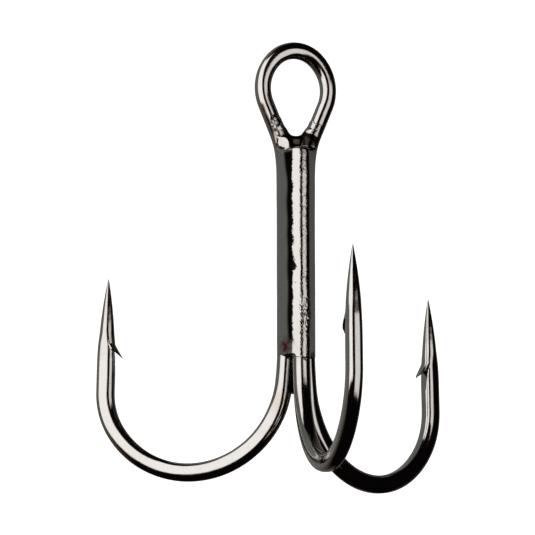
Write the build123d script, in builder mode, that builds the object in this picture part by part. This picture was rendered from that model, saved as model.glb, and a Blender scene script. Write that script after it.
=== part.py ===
"""A treble fishing hook: a double hook and a single hook, brazed back to back along their shanks.

The double hook is one length of wire, bent into the eye in its middle and into a hook at each end.
The single hook is a second wire whose shank lies in the groove between the double hook's two legs.
Filler metal wets all three shanks, closes the throat under the eye and feathers out above the bends.

Units are millimetres. The origin is the centre of the eye at its widest, the eye's axis is Y, and +Z runs
up the shank. The single hook's bend points to -Y, and the double hook's bends lie about 120 degrees either
side of it, each as true as the bending was.
"""

import os
from math import cos, radians, sin, sqrt

from build123d import *

# wire
WIRE_R = 0.88
EYE_WIRE_R = 0.83  # the wire draws thinner where it is bent round for the eye

# shank bundle: three wires on a circle about the shank's axis
BUNDLE_R = 1.20
LEG_X = BUNDLE_R * sin(radians(60))  # the double hook's legs stand at x = +-LEG_X, y = 0
SINGLE_Y = -BUNDLE_R * 1.5  # and the single hook's shank in front of the gap between them

# eye: a teardrop of one crown arc, two side arcs, two straight runs and two neck arcs
CROWN_R = 3.02
CROWN_HALF_SWEEP = 44.5
SIDE_R = 4.37
SIDE_SWEEP = 68.0
RUN_LENGTH = 3.06

# bend, from the foot of the shank to the point: (radius, degrees turned)
BEND_ARCS = ((41.0, 6.5), (9.66, 82.4), (9.05, 58.7), (7.4, 33.7))
BEND_START_Z = -26.0
HIGH_BEND_LIFT = 0.57  # the double hook's -X bend is set this much higher than the other two
HIGH, LEVEL, FRONT = 151, 30, 269  # the bends' directions, in degrees about +Z from +X
HIGH_BARB, LEVEL_BARB, FRONT_BARB = 0, -9, 12  # degrees each barb is turned from facing the shank

# point
POINT_LENGTH = 11.6
OGIVE_LENGTH = 9.2
TIP_R = 0.03

# barb: a sliver chiselled from the wire's inner side and lifted, and the ramp that it leaves
BARB_FROM_TIP = 6.5
BARB_LENGTH = 1.88
BARB_LIFT = 31.5
BARB_WEDGE = 19.0
RAMP_LENGTH = 2.2
RAMP_DEPTH = 0.15

# filler metal
COAT = 0.055
BRAZE_FOOT_Z = -27.2
CORE_FOOT_Z = -30.9  # between the wires it runs further down than outside them
CORE_FOOT_R = 0.70
CORE_TOP_R = 1.15
SINGLE_TOP_Z = -6.0
END_CHAMFER = 0.15
THROAT_Z = -4.8
THROAT_R = 1.33
WEB_THICKNESS = 1.20

# the eye's half profile in its own plane, from the end of the crown arc down to the parallel legs
lean = radians(CROWN_HALF_SWEEP + SIDE_SWEEP - 90)
side_x = (CROWN_R - SIDE_R) * sin(radians(CROWN_HALF_SWEEP))
crown_z = (SIDE_R - CROWN_R) * cos(radians(CROWN_HALF_SWEEP))
side_end = Vector(side_x + SIDE_R * cos(lean), -SIDE_R * sin(lean))
run_end = side_end - Vector(sin(lean), cos(lean)) * RUN_LENGTH
neck_r = (run_end.X - LEG_X) / (1 - cos(lean))
neck_end_z = run_end.Y - neck_r * sin(lean)
throat_edge_z = THROAT_Z + THROAT_R * (1 - sin(lean))

# the point's profile arc, tangent to the wire at the shoulder
ogive_drop = WIRE_R - TIP_R
ogive_r = (OGIVE_LENGTH**2 + ogive_drop**2) / (2 * ogive_drop)
barb_r = WIRE_R - ogive_r + sqrt(ogive_r**2 - (OGIVE_LENGTH - BARB_FROM_TIP) ** 2)


def leg_x(z):
    """How far from the middle each of the double hook's legs stands at height z of the neck."""
    return LEG_X + neck_r - sqrt(neck_r**2 - (z - neck_end_z) ** 2)


# One barb on its own: the wire's surface is the plane y = 0 with the tip towards +X, and its root's
# upper edge is at the origin. The sliver keeps the round back of the wire that it was cut from.
with BuildPart() as barb:
    up, under = radians(BARB_LIFT), radians(BARB_LIFT + BARB_WEDGE)
    free_end = (-BARB_LENGTH * cos(up), BARB_LENGTH * sin(up))
    heel_x = free_end[0] + free_end[1] * cos(under) / sin(under)
    with BuildSketch():
        with BuildLine():
            Polyline((0, 0), free_end, (heel_x, 0), (heel_x, -barb_r / 2), (0, -barb_r / 2), close=True)
        make_face()
    extrude(amount=WIRE_R, both=True)
    with Locations(Location((-barb_r * sin(up), -barb_r * cos(up), 0), (0, 0, -BARB_LIFT))):
        Cylinder(barb_r, BARB_LENGTH * 4, rotation=(0, 90, 0), mode=Mode.INTERSECT)


# One hook from the foot of its shank to its point: it starts at the origin heading down and bends to +X.
with BuildPart() as plain_tine:
    with BuildLine(Plane.XZ) as bend:
        at, turned = (0, 0), 0
        for radius, sweep_angle in BEND_ARCS:
            heading = (sin(radians(turned)), -cos(radians(turned)))
            arc = JernArc(at, heading, radius, sweep_angle)
            at, turned = arc @ 1, turned + sweep_angle
    with BuildSketch(Plane.XY):
        Circle(WIRE_R)
    sweep(path=bend.wires()[0])

    # in the point's plane, +X runs on to the tip and +Y faces the shank
    point_plane = Plane(origin=arc @ 1, x_dir=arc % 1, z_dir=(0, -1, 0))
    shoulder = POINT_LENGTH - OGIVE_LENGTH
    with BuildSketch(point_plane):
        with BuildLine():
            Polyline((0, 0), (0, WIRE_R), (shoulder, WIRE_R))
            TangentArc((shoulder, WIRE_R), (POINT_LENGTH, TIP_R), tangent=(1, 0))
            Polyline((POINT_LENGTH, TIP_R), (POINT_LENGTH, 0), (0, 0))
        make_face()
    revolve(axis=Axis(point_plane.origin, point_plane.x_dir))


def barbed_tine(barb_turn):
    """The plain hook with its ramp cut and its barb lifted, both turned about the point's axis."""
    barb_plane = Plane(point_plane.location * Location((0, 0, 0), (barb_turn, 0, 0)))
    barb_x = POINT_LENGTH - BARB_FROM_TIP
    ramp_top = barb_x + heel_x
    with BuildPart() as tine:
        add(plain_tine.part)
        with BuildSketch(barb_plane):
            with BuildLine():
                Polyline(
                    (ramp_top, WIRE_R * 2),
                    (ramp_top, barb_r - RAMP_DEPTH),
                    (ramp_top - RAMP_LENGTH, WIRE_R),
                    (ramp_top - RAMP_LENGTH, WIRE_R * 2),
                    close=True,
                )
            make_face()
        extrude(amount=WIRE_R * 2, both=True, mode=Mode.SUBTRACT)
        with Locations(barb_plane):
            with Locations((barb_x, barb_r, 0)):
                add(barb.part)
    return tine.part


with BuildPart() as double_hook:
    for side, facing, lift, barb_turn in (
        (-1, HIGH, HIGH_BEND_LIFT, HIGH_BARB),
        (1, LEVEL, 0, LEVEL_BARB),
    ):
        foot_z = BEND_START_Z + lift
        with Locations(Location((side * LEG_X, 0, foot_z), (0, 0, facing))):
            add(barbed_tine(barb_turn))
        with Locations((side * LEG_X, 0, foot_z)):
            Cylinder(WIRE_R, neck_end_z - foot_z, align=(Align.CENTER, Align.CENTER, Align.MIN))

        # the leg's neck, which thins to the eye's wire
        with BuildLine(Plane.XZ) as neck:
            RadiusArc((side * LEG_X, neck_end_z), (side * run_end.X, run_end.Y), side * neck_r)
        with BuildSketch(Plane.XY.offset(neck_end_z)):
            with Locations((side * LEG_X, 0)):
                Circle(WIRE_R)
        with BuildSketch(Plane(origin=neck.line @ 1, z_dir=neck.line % 1)):
            Circle(EYE_WIRE_R)
        sweep(path=neck.line, multisection=True)

    # the eye from one neck round to the other
    with BuildLine(Plane.XZ) as eye:
        Line((-run_end.X, run_end.Y), (-side_end.X, side_end.Y))
        crown_x = CROWN_R * sin(radians(CROWN_HALF_SWEEP))
        shoulder_z = crown_z + CROWN_R * cos(radians(CROWN_HALF_SWEEP))
        TangentArc((-side_end.X, side_end.Y), (-crown_x, shoulder_z), tangent=(-sin(lean), cos(lean)))
        ThreePointArc((-crown_x, shoulder_z), (0, crown_z + CROWN_R), (crown_x, shoulder_z))
        TangentArc((side_end.X, side_end.Y), (crown_x, shoulder_z), tangent=(sin(lean), cos(lean)))
        Line((side_end.X, side_end.Y), (run_end.X, run_end.Y))
    with BuildSketch(Plane(origin=(-run_end.X, 0, run_end.Y), z_dir=(-sin(lean), 0, cos(lean)))):
        Circle(EYE_WIRE_R)
    sweep(path=eye.wires()[0])

double_hook.part.label = "double_hook"


with BuildPart() as single_hook:
    with Locations(Location((0, SINGLE_Y, BEND_START_Z), (0, 0, FRONT))):
        add(barbed_tine(FRONT_BARB))
    with Locations((0, SINGLE_Y, BEND_START_Z)):
        Cylinder(WIRE_R, SINGLE_TOP_Z - BEND_START_Z, align=(Align.CENTER, Align.CENTER, Align.MIN))
    chamfer(single_hook.edges().sort_by(Axis.Z)[-1], END_CHAMFER)

single_hook.part.label = "single_hook"


with BuildPart() as braze:
    # one outline round the three shanks, and round the legs' spread up to the single hook's end
    ledge_z = SINGLE_TOP_Z + COAT
    for z in (BRAZE_FOOT_Z, neck_end_z):
        with BuildSketch(Plane.XY.offset(z)):
            with Locations((-LEG_X, 0), (LEG_X, 0), (0, SINGLE_Y)):
                Circle(WIRE_R + COAT)
            make_hull()
    loft()
    for step in range(4):
        z = neck_end_z + (ledge_z - neck_end_z) * step / 3
        with BuildSketch(Plane.XY.offset(z)):
            with Locations((-leg_x(z), 0), (leg_x(z), 0), (0, SINGLE_Y)):
                Circle(WIRE_R + COAT)
            make_hull()
    loft()

    # the core, which wicks down between the wires until they part
    with Locations((0, -BUNDLE_R / 2, CORE_FOOT_Z)):
        core_length = BRAZE_FOOT_Z + END_CHAMFER - CORE_FOOT_Z
        Cone(CORE_FOOT_R, CORE_TOP_R, core_length, align=(Align.CENTER, Align.CENTER, Align.MIN))

    # the web that closes the eye's throat
    with BuildSketch(Plane.XZ):
        with BuildLine():
            Polyline(
                (-leg_x(throat_edge_z), throat_edge_z),
                (leg_x(throat_edge_z), throat_edge_z),
                (LEG_X, neck_end_z),
                (-LEG_X, neck_end_z),
                close=True,
            )
        make_face()
        with Locations((0, THROAT_Z + THROAT_R)):
            Circle(THROAT_R, mode=Mode.SUBTRACT)
    extrude(amount=WEB_THICKNESS / 2, both=True)
    add(double_hook.part, mode=Mode.SUBTRACT)
    add(single_hook.part, mode=Mode.SUBTRACT)

braze.part.label = "braze"


os.makedirs("parts", exist_ok=True)
for piece in (double_hook, single_hook, braze):
    export_step(piece.part, f"parts/{piece.part.label}.step")
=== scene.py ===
"""The treble hook's looks: fine wires, wetted filler metal and black-nickel plate in a soft studio."""

from math import atan2, cos, pi, radians, sin, sqrt

import bmesh
import bpy
import numpy as np
from mathutils import Matrix, Vector
from mathutils.kdtree import KDTree


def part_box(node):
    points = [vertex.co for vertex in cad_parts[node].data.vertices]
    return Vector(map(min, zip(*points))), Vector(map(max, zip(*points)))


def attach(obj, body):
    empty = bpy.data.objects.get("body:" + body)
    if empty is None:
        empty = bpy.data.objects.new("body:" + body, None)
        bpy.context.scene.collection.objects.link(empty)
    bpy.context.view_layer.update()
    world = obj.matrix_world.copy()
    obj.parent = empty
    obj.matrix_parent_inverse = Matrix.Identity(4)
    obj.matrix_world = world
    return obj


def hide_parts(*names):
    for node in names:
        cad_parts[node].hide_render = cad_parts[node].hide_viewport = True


MM = 0.001
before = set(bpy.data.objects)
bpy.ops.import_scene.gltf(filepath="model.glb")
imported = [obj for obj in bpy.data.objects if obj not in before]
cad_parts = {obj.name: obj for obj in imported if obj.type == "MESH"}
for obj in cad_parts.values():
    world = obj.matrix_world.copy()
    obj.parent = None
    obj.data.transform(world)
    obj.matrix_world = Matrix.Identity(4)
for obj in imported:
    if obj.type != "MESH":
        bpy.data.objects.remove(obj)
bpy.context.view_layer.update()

# ---------------------------------------------------------------- the CAD's dimensions, in millimetres
WIRE_R = 0.88
EYE_WIRE_R = 0.83

# shank: three wires round its axis, with the double hook's legs at x = +-LEG_X and y = 0
BUNDLE_R = 1.20
LEG_X = BUNDLE_R * sin(radians(60))
AXIS_Y = -BUNDLE_R / 2
SINGLE_Y = -BUNDLE_R * 1.5

# eye: a crown arc, two side arcs and two straight runs, with sweeps in degrees
CROWN_R = 3.02
CROWN_HALF_SWEEP = 44.5
SIDE_R = 4.37
SIDE_SWEEP = 68.0
RUN_LENGTH = 3.06
EYE_LEAN = radians(CROWN_HALF_SWEEP + SIDE_SWEEP - 90)

# bends: (radius, degrees turned) from the foot of the shank to the point, and directions about Z in degrees
BEND_ARCS = ((41.0, 6.5), (9.66, 82.4), (9.05, 58.7), (7.4, 33.7))
BEND_START_Z = -26.0
HIGH_BEND_LIFT = 0.57
HIGH, LEVEL, FRONT = 151, 30, 269

# points, and how many degrees each barb is turned from facing the shank
POINT_LENGTH = 11.6
OGIVE_LENGTH = 9.2
TIP_R = 0.03
HIGH_BARB, LEVEL_BARB, FRONT_BARB = 0, -9, 12

# filler metal
BRAZE_FOOT_Z = -27.2
THROAT_Z = -4.8
THROAT_R = 1.33

# places that the frame gives
SINGLE_TOP_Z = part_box("single_hook")[1].z / MM
CORE_FOOT_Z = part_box("braze")[0].z / MM

# ---------------------------------------------------------------- camera
CAMERA_AZIMUTH, CAMERA_ELEVATION, CAMERA_ROLL = radians(-16.09), radians(-9.73), radians(-0.093)
CAMERA_DISTANCE = 0.40458
CAMERA_LENS = 272.24
LOOK_AT = Vector((0, AXIS_Y, -18.33)) * MM
LOOK_ASIDE = 3.016 * MM


def make_camera():
    """A long lens a little below the hook, turned towards its left side."""
    right = Vector((cos(CAMERA_AZIMUTH), sin(CAMERA_AZIMUTH), 0))
    back = Vector((sin(CAMERA_AZIMUTH), -cos(CAMERA_AZIMUTH), 0)) * cos(CAMERA_ELEVATION)
    back.z = sin(CAMERA_ELEVATION)
    facing = Matrix((right, back.cross(right), back)).transposed().to_4x4()
    data = bpy.data.cameras.new("camera")
    data.sensor_width = 36
    data.lens = CAMERA_LENS
    data.clip_start = 0.01
    camera = bpy.data.objects.new("camera", data)
    place = Matrix.Translation(LOOK_AT - right * LOOK_ASIDE + back * CAMERA_DISTANCE)
    camera.matrix_world = place @ facing @ Matrix.Rotation(CAMERA_ROLL, 4, "Z")
    bpy.context.scene.collection.objects.link(camera)
    bpy.context.scene.camera = camera


make_camera()

# ---------------------------------------------------------------- close-up detail, in millimetres
# barbs: each runs from its root down the point, and the chisel's ramp lies under it
BARB_FROM_TIP = 6.38
BARB_REACH = 1.98
BARB_SLOPE = 0.64
BARB_UNDER_SLOPE = 1.12
BARB_CURVE = 0.35  # how gently its back leaves the wire
BARB_HEEL = 0.86  # how far from its root its underside leaves the ramp
BARB_HEEL_THICK = 0.42
BARB_COLUMNS, BARB_ROWS = 13, 44
HEEL_DEPTH = 0.14
RAMP_END = 3.1
CHISEL_MARK = 0.006
CHISEL_MARK_SIZE = 0.35

# wires: pressed thinner across each bend and wider in its plane, towards a square of this power
PRESSED_THIN, PRESSED_WIDE, PRESSED_SQUARE = 0.92, 1.05, 2.6
PRESSED_FROM_TIP = (5.3, 7.1)  # distances over which that begins, from the tip and from the foot
PRESSED_FROM_FOOT = (4.0, 8.0)
EYE_PRESSED = 0.45  # the eye's crown is pressed by this share of what the bends are
EYE_PRESSED_FADE = (2.5, 6.0)  # distances from the crown over which that ends
WIRE_UNEVEN = 0.004
WIRE_UNEVEN_SIZE = 7.0
SINGLE_END = ((0.6, 0.30), (0.65, 0.14))  # the single hook's end inside the filler: (drop, narrowing)
SINGLE_FULL_DROP = 0.8  # and the drop from which it is full wire
NECK = (-8.8, -4.6)  # the heights between which the legs thin to the eye's wire

# filler metal's coat, and where it ends on the eye's legs
COAT = 0.05
COAT_HEAD = 0.03  # how much thicker it is near the eye
COAT_TOP_LEFT = -3.0
COAT_TOP_RIGHT = -3.4
EDGE_SINK = 0.06  # how far below the wire's surface it dives at its edges
FILL = 2.6  # how widely it rounds off between the shanks
WEB_HALF = 0.45
BEAD = (-0.28, -1.56)  # (x, y) of filler that stands a little proud beside the single hook

# spots on it: (centre), (reach in each direction)
PATCH = (-2.15, -0.85, -3.95), (0.75, 0.4, 0.7)  # the rough patch on the eye's left leg
PITS = (0.45, -2.4, -23.3), (0.9, 0.9, 1.5)
GUSSET = (-1.37, -0.75, -5.95), (0.95, 0.95, 0.6)  # a blob in the throat, its reaches down, out and across
GUSSET_FACE = (-1.50, -1.30, -5.87), (-0.55, -0.82, 0.15)  # a place on its flat face, and the way it faces

# painted shade and rust on it: heights, and degrees round from the front towards the left
PAINTED_SHADE_EDGES = (32, 59)
PAINTED_SHADE_FOOT = (-26.6, -25.6)
PAINTED_SHADE_TOP = (-6.9, -6.5)
RUST = (66, -26.4), (22, 0.65)  # (degrees round, height), (reach of each)

# meshes
RING = 56  # points round a wire
STATION = 0.13  # the length of wire between two rings
WIRE_SHARP, BRAZE_SHARP = 32, 60  # edges over this many degrees stay sharp
BRAZE_CELL = 0.075
RIPPLE_WAVES = 9


# ---------------------------------------------------------------- helpers
def ripple(points, size, seed):
    """Smooth unevenness of about -1 to 1 at points in millimetres, in waves about size long, set by seed."""
    draw = np.random.default_rng(seed)
    total = 0.0
    for _ in range(RIPPLE_WAVES):
        way = draw.normal(size=3)
        way *= 2 * pi / size * draw.uniform(0.6, 1.5) / np.linalg.norm(way)
        total = total + np.sin(points @ way + draw.uniform(0, 2 * pi))
    return total / sqrt(RIPPLE_WAVES)


def smooth_step(low, high, value):
    """0 up to low, 1 from high on and an S-shaped slope between. A falling step's low is the greater."""
    t = np.clip((value - low) / (high - low), 0.0, 1.0)
    return t * t * (3 - 2 * t)


def spot(x, y, z, centre, reach):
    """1 at centre, fading to nothing over about its reach in each direction."""
    x, y, z = ((value - at) / size for value, at, size in zip((x, y, z), centre, reach))
    return np.exp(-(x**2) - y**2 - z**2)


def mesh_object(name, points, faces):
    """A mesh object, still in millimetres."""
    mesh = bpy.data.meshes.new(name)
    mesh.from_pydata(np.asarray(points).tolist(), [], faces)
    made = bpy.data.objects.new(name, mesh)
    bpy.context.scene.collection.objects.link(made)
    return made


def grid_faces(rows, columns):
    """Quads between rows of points that each close on themselves."""
    faces = []
    for row in range(rows - 1):
        for column in range(columns):
            after = (column + 1) % columns
            base, above = row * columns, (row + 1) * columns
            faces.append((base + column, base + after, above + after, above + column))
    return faces


def fan(ring_start, columns, centre, turned_over):
    """Triangles from one ring to a point."""
    faces = []
    for column in range(columns):
        pair = (ring_start + column, ring_start + (column + 1) % columns)
        faces.append((*(pair[::-1] if turned_over else pair), centre))
    return faces


def boolean(target, tool, operation):
    """Joins a tool object into target, or cuts it away, and removes the tool."""
    modifier = target.modifiers.new("boolean", "BOOLEAN")
    modifier.operation = operation
    modifier.solver = "EXACT"
    modifier.object = tool
    evaluated = target.evaluated_get(bpy.context.evaluated_depsgraph_get())
    mesh = bpy.data.meshes.new_from_object(evaluated)
    target.modifiers.clear()
    target.data = mesh
    bpy.data.objects.remove(tool)


def finish_mesh(piece, sharp_angle):
    """Scales a piece to metres and shades it smoothly, with the edges over an angle kept sharp."""
    piece.data.transform(Matrix.Scale(MM, 4))
    piece.data.polygons.foreach_set("use_smooth", [True] * len(piece.data.polygons))
    piece.data.set_sharp_from_angle(angle=radians(sharp_angle))


# ---------------------------------------------------------------- wire centre-lines
class Route:
    """A centre-line in one plane, grown from runs and arcs: x is across, z is up, headings are from -z."""

    def __init__(self, x, z, heading):
        self.points = [(x, z)]
        self.heading = heading

    def run(self, length):
        self.arc(length, 0.0)

    def arc(self, length, turn):
        """turn is in radians, positive towards +x when heading down."""
        count = max(1, round(length / STATION))
        for _ in range(count):
            self.heading += turn / count / 2
            x, z = self.points[-1]
            step = length / count
            chord = step * (1 if turn == 0 else sin(turn / count / 2) / (turn / count / 2))
            self.points.append((x + chord * sin(self.heading), z - chord * cos(self.heading)))
            self.heading += turn / count / 2


def tine_route():
    """From the foot of a shank, over the bend and up to the tip."""
    route = Route(0, 0, 0)
    for radius, sweep in BEND_ARCS:
        route.arc(radius * radians(sweep), radians(sweep))
    route.run(POINT_LENGTH)
    return np.array(route.points)


def eye_half_route():
    """From the eye's crown down one side to the parallel legs, and how many points are above the neck."""
    side_x = (CROWN_R - SIDE_R) * sin(radians(CROWN_HALF_SWEEP))
    crown_z = (SIDE_R - CROWN_R) * cos(radians(CROWN_HALF_SWEEP))
    run_x = side_x + SIDE_R * cos(EYE_LEAN) - RUN_LENGTH * sin(EYE_LEAN)
    neck_r = (run_x - LEG_X) / (1 - cos(EYE_LEAN))
    route = Route(0, crown_z + CROWN_R, pi / 2)
    route.arc(CROWN_R * radians(CROWN_HALF_SWEEP), -radians(CROWN_HALF_SWEEP))
    route.arc(SIDE_R * radians(SIDE_SWEEP), -radians(SIDE_SWEEP))
    route.run(RUN_LENGTH)
    neck_from = len(route.points)
    route.arc(neck_r * EYE_LEAN, EYE_LEAN)
    return np.array(route.points), neck_from


def placed_tine(foot, facing):
    """The tine's centre-line in space, with the unit vector that points away from the shank."""
    flat = tine_route()
    out = np.array((cos(radians(facing)), sin(radians(facing)), 0))
    points = np.array(foot) + flat[:, :1] * out + flat[:, 1:] * np.array((0, 0, 1))
    return points, out


# ---------------------------------------------------------------- wires
def lengths_along(points):
    """How far along a centre-line each of its points is."""
    return np.concatenate([[0], np.cumsum(np.linalg.norm(np.diff(points, axis=0), axis=1))])


def tangents(points):
    """The unit vector along a centre-line at each of its points."""
    way = np.gradient(points, axis=0)
    return way / np.linalg.norm(way, axis=1)[:, None]


def point_radius(from_tip):
    """The wire's radius at a distance from its tip: an arc that meets the full wire with no corner."""
    drop = WIRE_R - TIP_R
    arc_r = (OGIVE_LENGTH**2 + drop**2) / (2 * drop)
    inside = np.clip(OGIVE_LENGTH - from_tip, 0, None)
    ogive = WIRE_R - arc_r + np.sqrt(arc_r**2 - inside**2)
    nose = np.sqrt(1 - (1 - np.clip(from_tip / TIP_R, 0, 1)) ** 2)
    return np.maximum(ogive * nose, 0.004)


def pressed_profile(pressed):
    """How far out each ring's points are, against a round wire's. Angle 0 is square to the bend."""
    angle = np.arange(RING) * 2 * pi / RING
    thin = np.abs(np.cos(angle)) / PRESSED_THIN
    wide = np.abs(np.sin(angle)) / PRESSED_WIDE
    profile = (thin**PRESSED_SQUARE + wide**PRESSED_SQUARE) ** (-1 / PRESSED_SQUARE)
    return 1 + pressed[:, None] * (profile - 1)


def pressed_part(from_tip):
    """How flat a tine is at a distance from its tip: from above the barb to the far side of the bend."""
    full = np.linalg.norm(np.diff(tine_route(), axis=0), axis=1).sum()
    return smooth_step(*PRESSED_FROM_TIP, from_tip) * smooth_step(*PRESSED_FROM_FOOT, full - from_tip)


def rings(points, radii, side, pressed):
    """Rings of points about a centre-line, with the ways they spread. side is near each ring's angle 0."""
    way = tangents(points)
    side = side - (side * way).sum(1)[:, None] * way
    side /= np.linalg.norm(side, axis=1)[:, None]
    other = np.cross(way, side)
    angle = np.arange(RING) * 2 * pi / RING
    spread = np.cos(angle)[None, :, None] * side[:, None] + np.sin(angle)[None, :, None] * other[:, None]
    out = radii[:, None] * pressed_profile(pressed)
    return points[:, None] + out[..., None] * spread, spread


def tube(name, points, radii, side, pressed, dents=()):
    """A closed wire, a few microns uneven. Each of dents moves its surface points before they are meshed."""
    surface, spread = rings(points, radii, side, pressed)
    lift = WIRE_UNEVEN * ripple(surface, WIRE_UNEVEN_SIZE, len(name))
    lift *= np.minimum(radii / WIRE_R, 1)[:, None]
    surface += spread * lift[..., None]
    for dent in dents:
        dent(surface)
    rows = len(points)
    verts = np.vstack([surface.reshape(-1, 3), points[:1], points[-1:]])
    faces = grid_faces(rows, RING)
    faces += fan(0, RING, rows * RING, True)
    faces += fan((rows - 1) * RING, RING, rows * RING + 1, False)
    return mesh_object(name, verts, faces)


class Barb:
    """Where a barb is cut: axes along the point, towards the shank and across, from the point's tip."""

    def __init__(self, tine, out, turn):
        self.tip = tine[-1]
        self.along = (tine[-1] - tine[-20]) / np.linalg.norm(tine[-1] - tine[-20])
        inner = Matrix.Rotation(radians(turn), 3, Vector(self.along)) @ Vector(-out)
        inner = np.array(inner) - self.along * (np.array(inner) @ self.along)
        self.inner = inner / np.linalg.norm(inner)
        self.across = np.cross(self.along, self.inner)
        self.root_r = float(point_radius(np.array(BARB_FROM_TIP)))

    def cut_ramp(self, surface):
        """Flattens the wire below the barb, where the chisel ran in."""
        offset = surface - self.tip
        down = -(offset @ self.along) - BARB_FROM_TIP
        height = offset @ self.inner
        depth = HEEL_DEPTH * np.clip((RAMP_END - down) / (RAMP_END - BARB_HEEL), 0, 1)
        floor = self.root_r + (point_radius(down + BARB_FROM_TIP) - self.root_r) - depth
        floor += CHISEL_MARK * np.sin(down * 2 * pi / CHISEL_MARK_SIZE)
        near = (down > BARB_HEEL - 0.35) & (down < RAMP_END) & (height > floor)
        near &= (np.abs(offset @ self.across) < 1.5 * WIRE_R) & (height < 1.5 * WIRE_R)
        surface[near] += (floor - height)[near][:, None] * self.inner

    def sliver(self):
        """The lifted sliver: its back keeps the wire's round, and its underside is the chisel's flat cut."""
        overlap = 0.012  # how deep the back starts inside the wire
        thinnest = 0.006
        verts = []
        downs = np.linspace(-0.02, BARB_REACH, BARB_ROWS)
        for down in downs:
            back = BARB_SLOPE * (sqrt(down**2 + BARB_CURVE**2) - BARB_CURVE) - overlap
            under = -HEEL_DEPTH + (down - BARB_HEEL) * BARB_UNDER_SLOPE
            thick = (back - under) * cos(atan2(BARB_SLOPE, 1))
            if down <= BARB_HEEL:
                thick, under = BARB_HEEL_THICK, -0.5
            thick = min(max(thick, thinnest), BARB_HEEL_THICK)
            half = sqrt(self.root_r**2 - (self.root_r - thick) ** 2)
            us = np.linspace(-half, half, BARB_COLUMNS)
            tops = back - (self.root_r - np.sqrt(self.root_r**2 - us**2))
            unders = np.minimum(under, tops - 0.004)
            for u, y in [*zip(us, tops), *zip(us[::-1], unders[::-1])]:
                place = self.tip - self.along * (BARB_FROM_TIP + down)
                verts.append(place + self.inner * (self.root_r + y) + self.across * u)
        ring = 2 * BARB_COLUMNS
        rows = len(downs)
        verts = np.array(verts)
        centres = [verts[:ring].mean(0), verts[-ring:].mean(0) - self.along * 0.01]
        faces = grid_faces(rows, ring) + fan(0, ring, rows * ring, True)
        faces += fan((rows - 1) * ring, ring, rows * ring + 1, False)
        made = mesh_object("sliver", np.vstack([verts, centres]), faces)
        bpy.context.view_layer.update()
        return made


def outward(piece):
    """Turns every face of a closed mesh outwards."""
    edit = bmesh.new()
    edit.from_mesh(piece.data)
    bmesh.ops.recalc_face_normals(edit, faces=edit.faces)
    edit.to_mesh(piece.data)
    edit.free()


def mark_wire(piece, points, side):
    """Stores where each vertex is round the wire and along it, for the finish's drawn streaks."""
    tree = KDTree(len(points))
    for index, point in enumerate(points):
        tree.insert(point, index)
    tree.balance()
    along = lengths_along(points)
    way = tangents(points)
    across = side - (side * way).sum(1)[:, None] * way
    across /= np.linalg.norm(across, axis=1)[:, None]
    other = np.cross(way, across)
    verts = np.array([vert.co for vert in piece.data.vertices])
    near = np.array([tree.find(vert)[1] for vert in verts])
    offset = verts - points[near]
    spread = np.stack([(offset * across[near]).sum(1), (offset * other[near]).sum(1)], 1)
    spread /= np.maximum(np.linalg.norm(spread, axis=1), 1e-6)[:, None]
    down = along[near] + (offset * way[near]).sum(1)
    layer = piece.data.attributes.new("wire", "FLOAT_VECTOR", "POINT")
    layer.data.foreach_set("vector", np.column_stack([spread, down]).ravel())


def barbed(name, points, radii, side, pressed, barbs):
    """A wire with each barb's ramp cut into it and its sliver joined on."""
    wire = tube(name, points, radii, side, pressed, [barb.cut_ramp for barb in barbs])
    outward(wire)
    for barb in barbs:
        sliver = barb.sliver()
        outward(sliver)
        boolean(wire, sliver, "UNION")
    mark_wire(wire, points, side)
    finish_mesh(wire, WIRE_SHARP)
    return wire


def straight(start, end):
    """Points along a straight stretch, up to but without its end."""
    start, end = np.array(start, float), np.array(end, float)
    count = max(2, round(np.linalg.norm(end - start) / STATION))
    return start + (end - start) * (np.arange(count) / count)[:, None]


def turning(first, last, count):
    """Vectors that turn smoothly from first to last."""
    share = smooth_step(0, 1, np.linspace(0, 1, count))[:, None]
    return np.array(first) * (1 - share) + np.array(last) * share


def make_double_hook():
    """One wire from the high bend's tip, up a leg, round the eye and down to the level bend's tip."""
    half, neck_from = eye_half_route()
    neck_z = half[-1, 1]
    foot_high = (-LEG_X, 0, BEND_START_Z + HIGH_BEND_LIFT)
    foot_level = (LEG_X, 0, BEND_START_Z)
    high, high_out = placed_tine(foot_high, HIGH)
    level, level_out = placed_tine(foot_level, LEVEL)
    left_leg = straight(foot_high, (-LEG_X, 0, neck_z))
    right_leg = straight((LEG_X, 0, neck_z), foot_level)
    eye = np.vstack([half[::-1] * (-1, 1), half[1:]])
    eye = np.stack([eye[:, 0], np.zeros(len(eye)), eye[:, 1]], 1)
    points = np.vstack([high[:0:-1], left_leg, eye[:-1], right_leg, level])

    high_side = np.cross(high_out, (0, 0, 1)) * -1
    level_side = np.cross(level_out, (0, 0, 1))
    front = (0, -1, 0)
    side = np.vstack([
        turning(high_side, high_side, len(high) - 1),
        turning(high_side, front, len(left_leg)),
        turning(front, front, len(eye) - 1),
        turning(front, level_side, len(right_leg)),
        turning(level_side, level_side, len(level)),
    ])

    along = lengths_along(points)
    from_tip = np.minimum(along, along[-1] - along)
    radii = point_radius(from_tip)
    middle = len(high) - 1 + len(left_leg) + len(half) - 1
    neck_length = along[middle + len(half) - 1] - along[middle + neck_from - 1]
    eye_length = along[middle + neck_from - 1] - along[middle]
    from_crown = np.abs(along - along[middle])
    thin = 1 - smooth_step(eye_length, eye_length + neck_length, from_crown)
    radii -= (WIRE_R - EYE_WIRE_R) * thin
    barbs = [Barb(high, high_out, HIGH_BARB), Barb(level, level_out, LEVEL_BARB)]
    pressed = EYE_PRESSED * (1 - smooth_step(*EYE_PRESSED_FADE, from_crown))
    pressed = np.maximum(pressed, pressed_part(from_tip))
    return barbed("double_hook_wire", points, radii, side, pressed, barbs)


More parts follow.
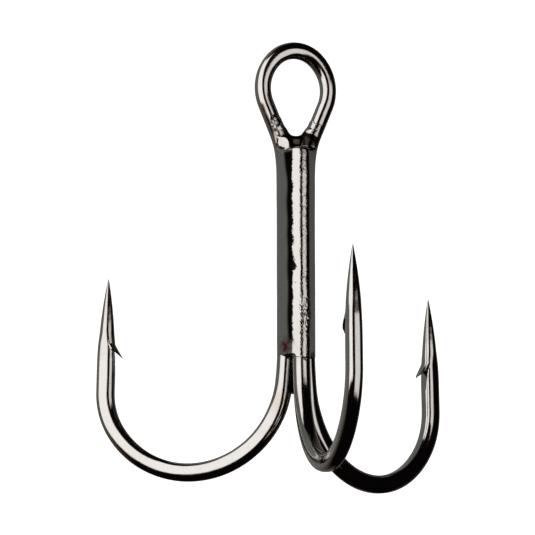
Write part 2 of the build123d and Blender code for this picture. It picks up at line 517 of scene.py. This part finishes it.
def make_single_hook():
    """One wire from its top end, inside the filler, down to the front bend's tip."""
    foot = (0, SINGLE_Y, BEND_START_Z)
    tine, out = placed_tine(foot, FRONT)
    end = [(0, SINGLE_Y, SINGLE_TOP_Z - drop) for drop, _ in SINGLE_END]
    shank = straight((0, SINGLE_Y, SINGLE_TOP_Z - SINGLE_FULL_DROP), foot)
    points = np.vstack([end, shank, tine])
    along = lengths_along(points)
    radii = point_radius(along[-1] - along)
    radii[: len(SINGLE_END)] = [WIRE_R - narrowing for _, narrowing in SINGLE_END]
    side = turning(np.cross(out, (0, 0, 1)), np.cross(out, (0, 0, 1)), len(points))
    barbs = [Barb(tine, out, FRONT_BARB)]
    return barbed("single_hook_wire", points, radii, side, pressed_part(along[-1] - along), barbs)


# ---------------------------------------------------------------- filler metal
def surface_net(name, field, low, high, cell):
    """A closed mesh of quads on the surface where field(points) is 0; field is negative inside."""
    low, high = np.array(low), np.array(high)
    count = np.ceil((high - low) / cell).astype(int) + 1
    index = np.stack(np.meshgrid(*[np.arange(n) for n in count], indexing="ij"), -1)
    inside = field((low + index * cell).reshape(-1, 3)).reshape(count) < 0
    corners = np.zeros(count - 1, int)
    for corner in np.ndindex(2, 2, 2):
        window = tuple(slice(c, n - 1 + c) for c, n in zip(corner, count))
        corners += inside[window]
    mixed = (corners > 0) & (corners < 8)
    number = np.full(count - 1, -1)
    number[mixed] = np.arange(mixed.sum())
    points = low + (np.argwhere(mixed) + 0.5) * cell

    # each point moves down the field's slope to the surface, but stays near its own cell
    start = points.copy()
    probe = 0.004
    for _ in range(6):
        value = field(points)
        slope = np.stack([field(points + np.eye(3)[a] * probe) - value for a in range(3)], 1) / probe
        move = -(value / np.maximum((slope**2).sum(1), 0.05))[:, None] * slope
        points = start + np.clip(points + move - start, -cell * 0.75, cell * 0.75)

    # a quad crosses each edge of the grid that leaves the surface
    faces = []
    for a in range(3):
        b, c = (a + 1) % 3, (a + 2) % 3
        lower = [slice(1, n - 1) for n in count]
        lower[a] = slice(0, count[a] - 1)
        upper = list(lower)
        upper[a] = slice(1, count[a])
        here, there = inside[tuple(lower)], inside[tuple(upper)]
        for first, turned_over in ((here & ~there, False), (~here & there, True)):
            node = np.argwhere(first) + [s.start for s in lower]
            ring = []
            for shift_b, shift_c in ((0, 0), (1, 0), (1, 1), (0, 1)):
                at = node.copy()
                at[:, b] -= shift_b
                at[:, c] -= shift_c
                ring.append(number[at[:, 0], at[:, 1], at[:, 2]])
            quads = np.stack(ring[::-1] if turned_over else ring, 1)
            faces += quads.tolist()
    made = mesh_object(name, points, faces)
    outward(made)
    return made


def blend_min(first, second, reach):
    """The lesser of two fields, rounded where they meet."""
    share = np.clip(0.5 + 0.5 * (second - first) / np.maximum(reach, 1e-6), 0, 1)
    return second * (1 - share) + first * share - reach * share * (1 - share)


def outside_polygon(x, y, corners):
    """Distance from a convex polygon, negative inside.

    corners run round it leftwards, and may vary from point to point.
    """
    nearest = np.full(x.shape, np.inf)
    deepest = np.full(x.shape, -np.inf)
    for (ax, ay), (bx, by) in zip(corners, corners[1:] + corners[:1]):
        edge_x, edge_y = bx - ax, by - ay
        length = np.hypot(edge_x, edge_y)
        share = np.clip(((x - ax) * edge_x + (y - ay) * edge_y) / length**2, 0, 1)
        nearest = np.minimum(nearest, np.hypot(x - ax - share * edge_x, y - ay - share * edge_y))
        deepest = np.maximum(deepest, ((x - ax) * edge_y - (y - ay) * edge_x) / length)
    return np.where(deepest > 0, nearest, deepest)


def leg_place(z):
    """How far from the middle a leg of the double hook is at height z, and the cosine of its lean."""
    half = eye_half_route()[0]
    xs, zs = half[::-1].T
    below = zs < 0
    x = np.interp(z, zs[below], xs[below])
    slope = np.gradient(xs[below], zs[below])
    return x, 1 / np.sqrt(1 + np.interp(z, zs[below], slope) ** 2)


def spread_below(z, foot_z):
    """How far a tine has moved outwards at height z just below its foot."""
    flat = tine_route()
    first = flat[: flat[:, 1].argmin()]
    return np.interp(-(z - foot_z), -first[:, 1], first[:, 0])


def above_gusset_face(x, y, z):
    """How far a place is above the gusset's flat face, negative inside the gusset."""
    (at_x, at_y, at_z), (way_x, way_y, way_z) = GUSSET_FACE
    return (x - at_x) * way_x + (y - at_y) * way_y + (z - at_z) * way_z


def coat_depth(p, leg_x, coarse, fine):
    """How thick the filler is on the wires: it thins out up the eye's legs and steps off above the bends."""
    x, y, z = p.T
    creep = smooth_step(0.05, 0.3, -x - leg_x) * (1 - smooth_step(-0.2, 0.2, y))
    top_edge = np.where(x < 0, COAT_TOP_LEFT + creep, COAT_TOP_RIGHT - 0.7 * (x - 1.95)) + 0.1 * fine
    facing = smooth_step(-1.2, -2.1, y)
    foot_edge = BRAZE_FOOT_Z - 0.5 * facing + 0.22 * ripple(p, 1.1, 13) + 0.1 * fine
    coat = COAT + COAT_HEAD * smooth_step(-14, -7, z)
    coat = coat + (0.003 + 0.008 * facing) * coarse + 0.004 * facing * fine
    coat *= 0.55 + 0.45 * smooth_step(0, 1.6, top_edge - z)
    coat += spot(x, y, z, *PATCH) * (0.05 + 0.026 * ripple(p, 0.62, 14))
    coat += spot(x, y, z, *PITS) * 0.036 * ripple(p, 0.28, 15)
    past_top = smooth_step(top_edge - 0.08, top_edge + 0.05, z)
    past_foot = 1 - smooth_step(foot_edge - 0.07, foot_edge + 0.03, z)
    coat -= (COAT + EDGE_SINK) * np.maximum(past_top, past_foot)
    return coat


def gusset_field(p, fine):
    """Negative inside the gusset left of the throat, which runs down to the right, 3 across for 4 down."""
    x, y, z = p.T
    (at_x, at_y, at_z), (down_reach, out_reach, across_reach) = GUSSET
    down = ((x - at_x) * 0.6 - (z - at_z) * 0.8) / down_reach
    across = ((x - at_x) * 0.8 + (z - at_z) * 0.6) / across_reach
    gusset = (np.sqrt(down**2 + across**2 + ((y - at_y) / out_reach) ** 2) - 1) * 0.8
    gusset += 0.07 * ripple(p, 1.3, 16)
    face = above_gusset_face(x, y, z) + 0.01 * fine
    return -blend_min(-gusset, -face, 0.12)


def braze_field(p):
    """Negative inside the filler metal, at points p in millimetres."""
    x, y, z = p.T
    coarse = ripple(p, 2.6, 11)
    fine = ripple(p, 0.75, 12)
    leg_x, lean_cos = leg_place(z)

    # the wires, with the coat that wets them
    thick = WIRE_R + coat_depth(p, leg_x, coarse, fine)
    leg_r = thick - (WIRE_R - EYE_WIRE_R) * smooth_step(*NECK, z)
    spread = spread_below(z, BEND_START_Z + HIGH_BEND_LIFT)
    left_x = x + leg_x - spread * cos(radians(HIGH))
    left = np.hypot(left_x * lean_cos, y - spread * sin(radians(HIGH))) - leg_r
    spread = spread_below(z, BEND_START_Z)
    right_x = x - leg_x - spread * cos(radians(LEVEL))
    right = np.hypot(right_x * lean_cos, y - spread * sin(radians(LEVEL))) - leg_r
    front_x = x - spread * cos(radians(FRONT))
    front = np.hypot(front_x, y - SINGLE_Y - spread * sin(radians(FRONT))) - thick
    over_end = z - (SINGLE_TOP_Z - 0.25 - 0.4 * smooth_step(-0.2, 0.7, x) + 0.05 * fine)
    front = -blend_min(-front, -over_end, 0.9)

    # the web under the eye, with its U-shaped throat
    centre_z = THROAT_Z + THROAT_R
    slot_r = np.where(z > centre_z, np.maximum(leg_x - EYE_WIRE_R + 0.1, THROAT_R), THROAT_R)
    throat = slot_r + 0.02 * fine - np.hypot(x + 0.06, np.minimum(z - centre_z, 0))
    upper = smooth_step(centre_z - 0.8, centre_z + 0.1, z)
    web_half = WEB_HALF + 0.03 * coarse - (WEB_HALF + 0.3) * upper
    web = -blend_min(-throat, web_half - np.abs(y), 0.5)
    web = np.maximum(web, np.abs(x) - leg_x)

    # the fill between them, no further out than a hull round the three, and narrower at both ends
    below = BRAZE_FOOT_Z - z
    head = smooth_step(SINGLE_TOP_Z - 1.1, SINGLE_TOP_Z + 0.5, z)
    reach = 0.2 + 0.5 * (1 - smooth_step(0, 3.7, below)) + (FILL - 0.7) * smooth_step(-0.35, 0.1, -below)
    body = blend_min(left, right, reach + (0.5 - reach) * head)
    body = blend_min(body, web, 0.5 - 0.49 * upper)
    body = blend_min(body, front, reach + (0.6 - reach) * head)
    corners = [(leg_x, 0 * z), (-leg_x, 0 * z), BEAD, (0 * z, SINGLE_Y + 0 * z)]
    hull = outside_polygon(x, y, corners) - thick + 0.12 * smooth_step(*NECK, z)
    body = np.where(below < 0.5, np.maximum(body, hull), body)
    body = blend_min(body, gusset_field(p, fine), 0.1)

    # level ends: the upper one is hidden in the wires, and the lower one is the core's foot
    ends = np.maximum(z - COAT_TOP_LEFT - 1.3, CORE_FOOT_Z - 0.1 - z)
    return np.maximum(body, ends)


def mark_braze(piece):
    """Stores how much painted shade, rust and throat darkening lies at each vertex of the filler."""
    points = np.array([vert.co for vert in piece.data.vertices])
    x, y, z = points.T
    fine = ripple(points, 0.7, 21)

    # the band of painted shade down the shank, a painted dark reflection beside the highlight, with a notch
    # in its inner edge
    around = np.degrees(np.arctan2(-x, AXIS_Y - y))
    notch = smooth_step(-17.4, -18.65, z) * smooth_step(-19.0, -18.75, z)
    inner_edge = PAINTED_SHADE_EDGES[0] + 2.2 * ripple(points, 1.4, 22) + 1.2 * fine - 12 * notch
    inner_edge += 1.8 * ripple(points, 0.28, 24)
    outer_edge = PAINTED_SHADE_EDGES[1] + 12 * smooth_step(-10, -6.6, z) + 2.5 * ripple(points, 3.0, 23)
    painted_shade = smooth_step(inner_edge - 2, inner_edge + 1.5, around)
    painted_shade *= 1 - smooth_step(outer_edge - 10, outer_edge + 6, around)
    painted_shade *= smooth_step(*PAINTED_SHADE_FOOT, z) * (1 - smooth_step(*PAINTED_SHADE_TOP, z))

    # painted shade across the front of the neck, where its reflections fall dark, but not on the gusset's
    # face
    right_leg = x > 0.8
    neck_top = np.where(x > 0, -4.55 - 0.5 * (x - 1.3), -4.95) + 0.06 * fine
    neck_shade = 1 - smooth_step(neck_top - 0.05, neck_top + 0.05, z)
    neck_foot = np.where(right_leg, np.maximum(-5.2 - 0.8 * (x - 1.27), -5.8), -6.1) + 0.05 * fine
    above_foot = smooth_step(-0.08, 0.08, z - neck_foot)
    neck_shade *= np.where(right_leg, 0.96, 0.0) + np.where(right_leg, 0.04, 1.0) * above_foot
    neck_shade *= smooth_step(-6.2, -5.8, z) * (1 - smooth_step(-0.3, -0.1, y))
    on_gusset_face = np.abs(above_gusset_face(x, y, z)) < 0.05
    painted_shade = np.maximum(painted_shade, neck_shade * ~on_gusset_face)

    # painted shade on the core below the foot, between the wires, and painted shade over the left leg's
    # highlight where the coat creeps up its outside
    painted_shade = np.maximum(painted_shade, smooth_step(BRAZE_FOOT_Z - 0.4, BRAZE_FOOT_Z - 0.9, z))
    beside_leg = -x - leg_place(z)[0]
    creep = smooth_step(0.1, 0.25, beside_leg) * (1 - smooth_step(0.72, 0.8, beside_leg))
    painted_shade = np.maximum(painted_shade, creep * smooth_step(-3.7, -3.4, z) * (1 - smooth_step(-0.2, 0.1, y)))

    # rust at the foot of the painted shade, and dark brown across the throat above the single hook's top
    (rust_around, rust_z), (reach_around, reach_z) = RUST
    rust = np.exp(-(((around - rust_around) / reach_around) ** 2) - ((z - rust_z) / reach_z) ** 2)
    rust = np.minimum(1, (1.2 + 0.5 * fine) * rust)
    throat_dark = smooth_step(SINGLE_TOP_Z - 0.1, SINGLE_TOP_Z + 0.1, z) * (1 - smooth_step(0.3, 0.7, np.abs(x)))
    layer = piece.data.attributes.new("stains_and_painted_shade", "FLOAT_VECTOR", "POINT")
    layer.data.foreach_set("vector", np.column_stack([painted_shade, rust, throat_dark]).ravel())


def make_braze():
    """The filler, meshed in a box that also takes in the coat on the eye's legs."""
    pad = 0.4
    eye_pad = pad + 1.2
    low, high = (np.array(corner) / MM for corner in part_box("braze"))
    low = low - (eye_pad, pad, pad)
    high = np.array((high[0] + eye_pad, high[1] + pad, COAT_TOP_LEFT + 1.6))
    made = surface_net("braze_fill", braze_field, low, high, BRAZE_CELL)
    mark_braze(made)
    finish_mesh(made, BRAZE_SHARP)
    return made


# ---------------------------------------------------------------- finishes
PIT_COLOUR = (0.07, 0.055, 0.045, 1)
MOTTLE_COLOUR = (0.20, 0.18, 0.17, 1)
# near-black painted shade, laid on the filler where its reflections fall dark
PAINTED_SHADE_COLOUR = (0.004, 0.003, 0.002, 1)
RUST_COLOUR = (0.14, 0.02, 0.02, 1)
# dark brown laid across the throat above the single hook's top
THROAT_DARK_COLOUR = (0.06, 0.045, 0.035, 1)
STREAK_SCALE = (9.0, 9.0, 0.35)


class Finish:
    """A node material with a few shorthands. Every texture reads places on the piece itself."""

    def __init__(self, name):
        self.material = bpy.data.materials.new(name)
        self.material.use_nodes = True
        self.nodes = self.material.node_tree.nodes
        self.links = self.material.node_tree.links
        self.shader = self.nodes["Principled BSDF"]
        self.place = self.nodes.new("ShaderNodeTexCoord").outputs["Object"]

    def feed(self, value, socket):
        if isinstance(value, bpy.types.NodeSocket):
            self.links.new(value, socket)
        else:
            socket.default_value = value

    def scaled(self, vector, factors):
        node = self.nodes.new("ShaderNodeVectorMath")
        node.operation = "MULTIPLY"
        self.feed(vector, node.inputs[0])
        node.inputs[1].default_value = factors
        return node.outputs[0]

    def attribute(self, name):
        node = self.nodes.new("ShaderNodeAttribute")
        node.attribute_name = name
        return node.outputs["Vector"]

    def noise(self, place, scale, detail=3.0, roughness=0.55):
        node = self.nodes.new("ShaderNodeTexNoise")
        self.feed(place, node.inputs["Vector"])
        node.inputs["Scale"].default_value = scale
        node.inputs["Detail"].default_value = detail
        node.inputs["Roughness"].default_value = roughness
        return node.outputs["Fac"]

    def cells(self, place, scale):
        node = self.nodes.new("ShaderNodeTexVoronoi")
        self.feed(place, node.inputs["Vector"])
        node.inputs["Scale"].default_value = scale
        return node.outputs["Distance"]

    def ramp(self, value, low, high, start=0.0, end=1.0):
        node = self.nodes.new("ShaderNodeMapRange")
        node.interpolation_type = "SMOOTHSTEP"
        self.feed(value, node.inputs["Value"])
        for socket, number in zip(("From Min", "From Max", "To Min", "To Max"), (low, high, start, end)):
            node.inputs[socket].default_value = number
        return node.outputs[0]

    def maths(self, operation, first, second):
        node = self.nodes.new("ShaderNodeMath")
        node.operation = operation
        self.feed(first, node.inputs[0])
        self.feed(second, node.inputs[1])
        return node.outputs[0]

    def mixed(self, share, first, second):
        node = self.nodes.new("ShaderNodeMix")
        node.data_type = "RGBA"
        self.feed(share, node.inputs["Factor"])
        self.feed(first, node.inputs[6])
        self.feed(second, node.inputs[7])
        return node.outputs[2]

    def bump(self, height, distance, under=None):
        node = self.nodes.new("ShaderNodeBump")
        node.inputs["Strength"].default_value = 1.0
        node.inputs["Distance"].default_value = distance
        self.feed(height, node.inputs["Height"])
        if under is not None:
            self.links.new(under, node.inputs["Normal"])
        return node.outputs[0]


def plate(name, tint, warm, roughness, uneven, pitting, streaks=None):
    """Black-nickel plate: a dark mirror with warm blotches and fine pits.

    uneven, pitting and streaks are bump heights in metres, and noise scales are in waves per metre. Wire has
    streaks from drawing. Filler has none, but it has rust, a dark brown throat and painted shade stored on
    it.
    """
    finish = Finish(name)
    shader = finish.shader
    shader.inputs["Metallic"].default_value = 1.0
    blotches = finish.ramp(finish.noise(finish.place, 260), 0.50, 0.72)
    specks = finish.ramp(finish.cells(finish.place, 2600), 0.0, 0.16, 1.0, 0.0)
    sparse = finish.ramp(finish.noise(finish.place, 420), 0.56, 0.68)
    pits = finish.maths("MULTIPLY", specks, sparse)
    colour = finish.mixed(blotches, (*tint, 1), (*warm, 1))
    colour = finish.mixed(finish.maths("MULTIPLY", pits, 0.55), colour, PIT_COLOUR)
    mottle = finish.ramp(finish.noise(finish.place, 7000, 2), 0.3, 0.7, 0.0, 0.10)
    colour = finish.mixed(mottle, colour, MOTTLE_COLOUR)
    if streaks is None:
        # the filler's stored painted shade, rust and dark brown throat, mixed into its colour
        parts = finish.nodes.new("ShaderNodeSeparateXYZ")
        finish.feed(finish.attribute("stains_and_painted_shade"), parts.inputs[0])
        colour = finish.mixed(parts.outputs["X"], colour, PAINTED_SHADE_COLOUR)
        colour = finish.mixed(finish.maths("MULTIPLY", parts.outputs["Y"], 0.95), colour, RUST_COLOUR)
        colour = finish.mixed(finish.maths("MULTIPLY", parts.outputs["Z"], 0.85), colour, THROAT_DARK_COLOUR)
    finish.feed(colour, shader.inputs["Base Color"])
    worn = finish.ramp(finish.noise(finish.place, 700, 4), 0.35, 0.75, roughness, roughness + 0.08)
    finish.feed(finish.maths("ADD", worn, finish.maths("MULTIPLY", pits, 0.25)), shader.inputs["Roughness"])
    soft = finish.bump(finish.noise(finish.place, 520, 2), uneven)
    grain = finish.bump(finish.noise(finish.place, 5200, 2), pitting, soft)
    height = finish.maths("SUBTRACT", 1.0, pits)
    normal = finish.bump(height, pitting * 4, grain)
    if streaks is not None:
        wire = finish.scaled(finish.attribute("wire"), STREAK_SCALE)
        normal = finish.bump(finish.noise(wire, 1.0, 4), streaks, normal)
    finish.links.new(normal, shader.inputs["Normal"])
    return finish.material


# ---------------------------------------------------------------- studio
LIGHT_R = 0.5
LIGHT_STEPS = 61
WARM_EDGE = (0.6, 0.2, 0.0)
WALL_TINT = (0.96, 1.0, 0.96)
BACKDROP_R = 0.75
BACKDROP_HEIGHT = 2.0
FLOOR_Z = -0.16
WORLD_COLOUR = (0.004, 0.003, 0.003, 1)


def soft_light(name, azimuths, elevations, strength, feathers, lean=0.0, tint=(1, 1, 1)):
    """A curved light that the camera can't see, dimming warmly towards its edges.

    Azimuths are in degrees to the right of the camera and elevations above the horizon, seen from the hook.
    feathers are the degrees over which it dims at its left, right, lower and upper edges. lean slants its
    sides.
    """
    columns = np.linspace(*azimuths, LIGHT_STEPS)
    rows = np.linspace(*elevations, LIGHT_STEPS)
    verts, glow = [], []
    for elevation in rows:
        for azimuth in columns:
            around = CAMERA_AZIMUTH - pi / 2 + radians(azimuth - lean * elevation)
            level = cos(radians(elevation))
            way = Vector((cos(around) * level, sin(around) * level, sin(radians(elevation))))
            verts.append(LOOK_AT + way * LIGHT_R)
            margins = [azimuth - columns[0], columns[-1] - azimuth]
            margins += [elevation - rows[0], rows[-1] - elevation]
            share = 1.0
            for margin, feather in zip(margins, feathers):
                share *= smooth_step(0, feather, margin)
            glow.append([strength * tint[i] * share * (1 + WARM_EDGE[i] * (1 - share)) for i in range(3)])
    faces = []
    for row in range(LIGHT_STEPS - 1):
        for column in range(LIGHT_STEPS - 1):
            corner = row * LIGHT_STEPS + column
            faces.append((corner, corner + 1, corner + LIGHT_STEPS + 1, corner + LIGHT_STEPS))
    mesh = bpy.data.meshes.new(name)
    mesh.from_pydata(verts, [], faces)
    layer = mesh.color_attributes.new("glow", "FLOAT_COLOR", "POINT")
    layer.data.foreach_set("color", np.column_stack([glow, np.ones(len(glow))]).ravel())
    material = bpy.data.materials.new(name)
    material.use_nodes = True
    nodes = material.node_tree.nodes
    nodes.clear()
    colour = nodes.new("ShaderNodeAttribute")
    colour.attribute_name = "glow"
    emission = nodes.new("ShaderNodeEmission")
    output = nodes.new("ShaderNodeOutputMaterial")
    material.node_tree.links.new(colour.outputs["Color"], emission.inputs["Color"])
    material.node_tree.links.new(emission.outputs[0], output.inputs["Surface"])
    mesh.materials.append(material)
    light = bpy.data.objects.new(name, mesh)
    bpy.context.scene.collection.objects.link(light)
    light.visible_camera = False


def plain(name, colour, glow):
    """A matt material that also glows, for the floor and the backdrop."""
    material = bpy.data.materials.new(name)
    material.use_nodes = True
    shader = material.node_tree.nodes["Principled BSDF"]
    shader.inputs["Base Color"].default_value = (*colour, 1)
    shader.inputs["Roughness"].default_value = 0.9
    shader.inputs["Specular IOR Level"].default_value = 0.1
    shader.inputs["Emission Color"].default_value = (1, 1, 1, 1)
    shader.inputs["Emission Strength"].default_value = glow
    return material


def make_studio():
    """Two soft lights in front, dim walls beside them, a floor far below and a backdrop all round."""
    soft_light("key_light", (-76, -6), (-15, 56), 2.15, (9, 8, 8, 8), lean=0.08)
    soft_light("side_light", (18, 70), (-35, 20), 1.55, (8, 12, 12, 5))
    soft_light("left_wall", (-185, -77), (-46, 88), 0.25, (2, 2, 60, 30), tint=WALL_TINT)
    soft_light("right_wall", (108, 174), (-40, 75), 0.13, (46, 2, 46, 60), tint=WALL_TINT)

    middle = (0, 0, FLOOR_Z)
    bpy.ops.mesh.primitive_circle_add(vertices=96, radius=BACKDROP_R, fill_type="NGON", location=middle)
    floor = bpy.context.object
    floor.name = "floor"
    floor.data.materials.append(plain("floor", (0.8, 0.8, 0.79), 0.9))
    bpy.ops.mesh.primitive_cylinder_add(vertices=128, radius=BACKDROP_R, depth=BACKDROP_HEIGHT)
    backdrop = bpy.context.object
    backdrop.name = "backdrop"
    backdrop.data.materials.append(plain("backdrop", (0.8, 0.8, 0.8), 1.0))
    for piece in (floor, backdrop):
        piece.visible_glossy = False
    backdrop.visible_diffuse = False

    world = bpy.data.worlds.new("studio")
    world.use_nodes = True
    world.node_tree.nodes["Background"].inputs["Color"].default_value = WORLD_COLOUR
    bpy.context.scene.world = world
    bpy.context.scene.view_settings.view_transform = "Standard"


# ---------------------------------------------------------------- making the hook
double_wire = make_double_hook()
single_wire = make_single_hook()
braze = make_braze()

wire_plate = plate(
    "plated_wire",
    tint=(0.40, 0.39, 0.375),
    warm=(0.36, 0.335, 0.305),
    roughness=0.07,
    uneven=0.00002,
    pitting=0.0000006,
    streaks=0.000004,
)
braze_plate = plate(
    "plated_braze",
    tint=(0.39, 0.38, 0.365),
    warm=(0.35, 0.325, 0.295),
    roughness=0.10,
    uneven=0.00005,
    pitting=0.000024,
)
double_wire.data.materials.append(wire_plate)
single_wire.data.materials.append(wire_plate)
braze.data.materials.append(braze_plate)
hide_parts("double_hook")
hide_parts("single_hook")
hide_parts("braze")
for piece, slot_name in ((double_wire, "plated_wire"), (single_wire, "plated_wire"), (braze, "plated_braze")):
    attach(piece, "root")

make_studio()
